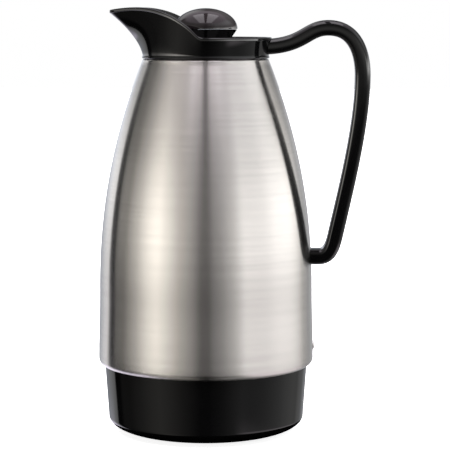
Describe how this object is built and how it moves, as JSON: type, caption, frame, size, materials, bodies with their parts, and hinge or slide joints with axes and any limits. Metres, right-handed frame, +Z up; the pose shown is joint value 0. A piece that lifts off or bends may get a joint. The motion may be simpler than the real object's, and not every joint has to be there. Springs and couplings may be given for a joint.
{
  "type": "insulated pouring carafe",
  "caption": "Tall insulated pouring carafe with a brushed steel shell, black base cup, spouted collar, loop handle and a round screw stopper.",
  "frame": {"origin": "on the body's axis, on the plane of the foot pad that it stands on", "axes": "+Z up the body's axis, -X towards the spout, +X towards the handle, +Y to the right of someone who looks along +X"},
  "size_m": [0.1854, 0.1474, 0.29],
  "materials": {
    "shell_steel": "satin, fine brushing that runs round the body",
    "black_gloss": "polished moulding",
    "knob_gloss": "highly polished moulding",
    "bright_screw": "bright plated",
    "liner_glass": "silvered on the vacuum side",
    "rubber": "matte",
    "silicone": "translucent white, satin",
    "inner_plastic": "matte moulding",
    "spacer_pad": "matte pad",
    "foam": "open foam"
  },
  "bodies": {
    "carafe": {"outer_shell": "shell_steel", "base_cup": "black_gloss", "foot_pad": "rubber", "base_thread_ring": "inner_plastic", "base_lock_screw": "bright_screw", "liner_cushion": "rubber", "liner_outer": "liner_glass", "liner_inner": "liner_glass", "liner_spacer_1": "spacer_pad", "liner_spacer_2": "spacer_pad", "liner_spacer_3": "spacer_pad", "neck_gasket": "silicone", "collar": "black_gloss", "collar_gasket": "rubber", "collar_lock_ring": "inner_plastic", "handle": "black_gloss", "handle_washer": "bright_screw", "handle_screw": "bright_screw"},
    "seal_ring": {"stopper_gasket": "silicone"},
    "lip_seal": {"stopper_lip_seal": "silicone"},
    "stopper": {"stopper_body": "black_gloss", "knob_cap": "knob_gloss", "stopper_bottom_cap": "black_gloss", "stopper_core": "foam"}
  },
  "joints": [
    {"name": "stopper_lift_off", "type": "slide", "parent": "carafe", "child": "seal_ring", "axis": [0, 0, 1], "range_m": [0, 0.08]},
    {"name": "stopper_rise", "type": "slide", "parent": "seal_ring", "child": "lip_seal", "axis": [0, 0, 1], "range_m": [0, 0.009]},
    {"name": "stopper_turn", "type": "hinge", "parent": "lip_seal", "child": "stopper", "pos_m": [0, 0, 0.2573], "axis": [0, 0, 1], "range_deg": [0, 540]}
  ],
  "couplings": [
    {"joint": "stopper_rise", "follows": "stopper_turn", "m_per_rad": 0.00095492}
  ]
}
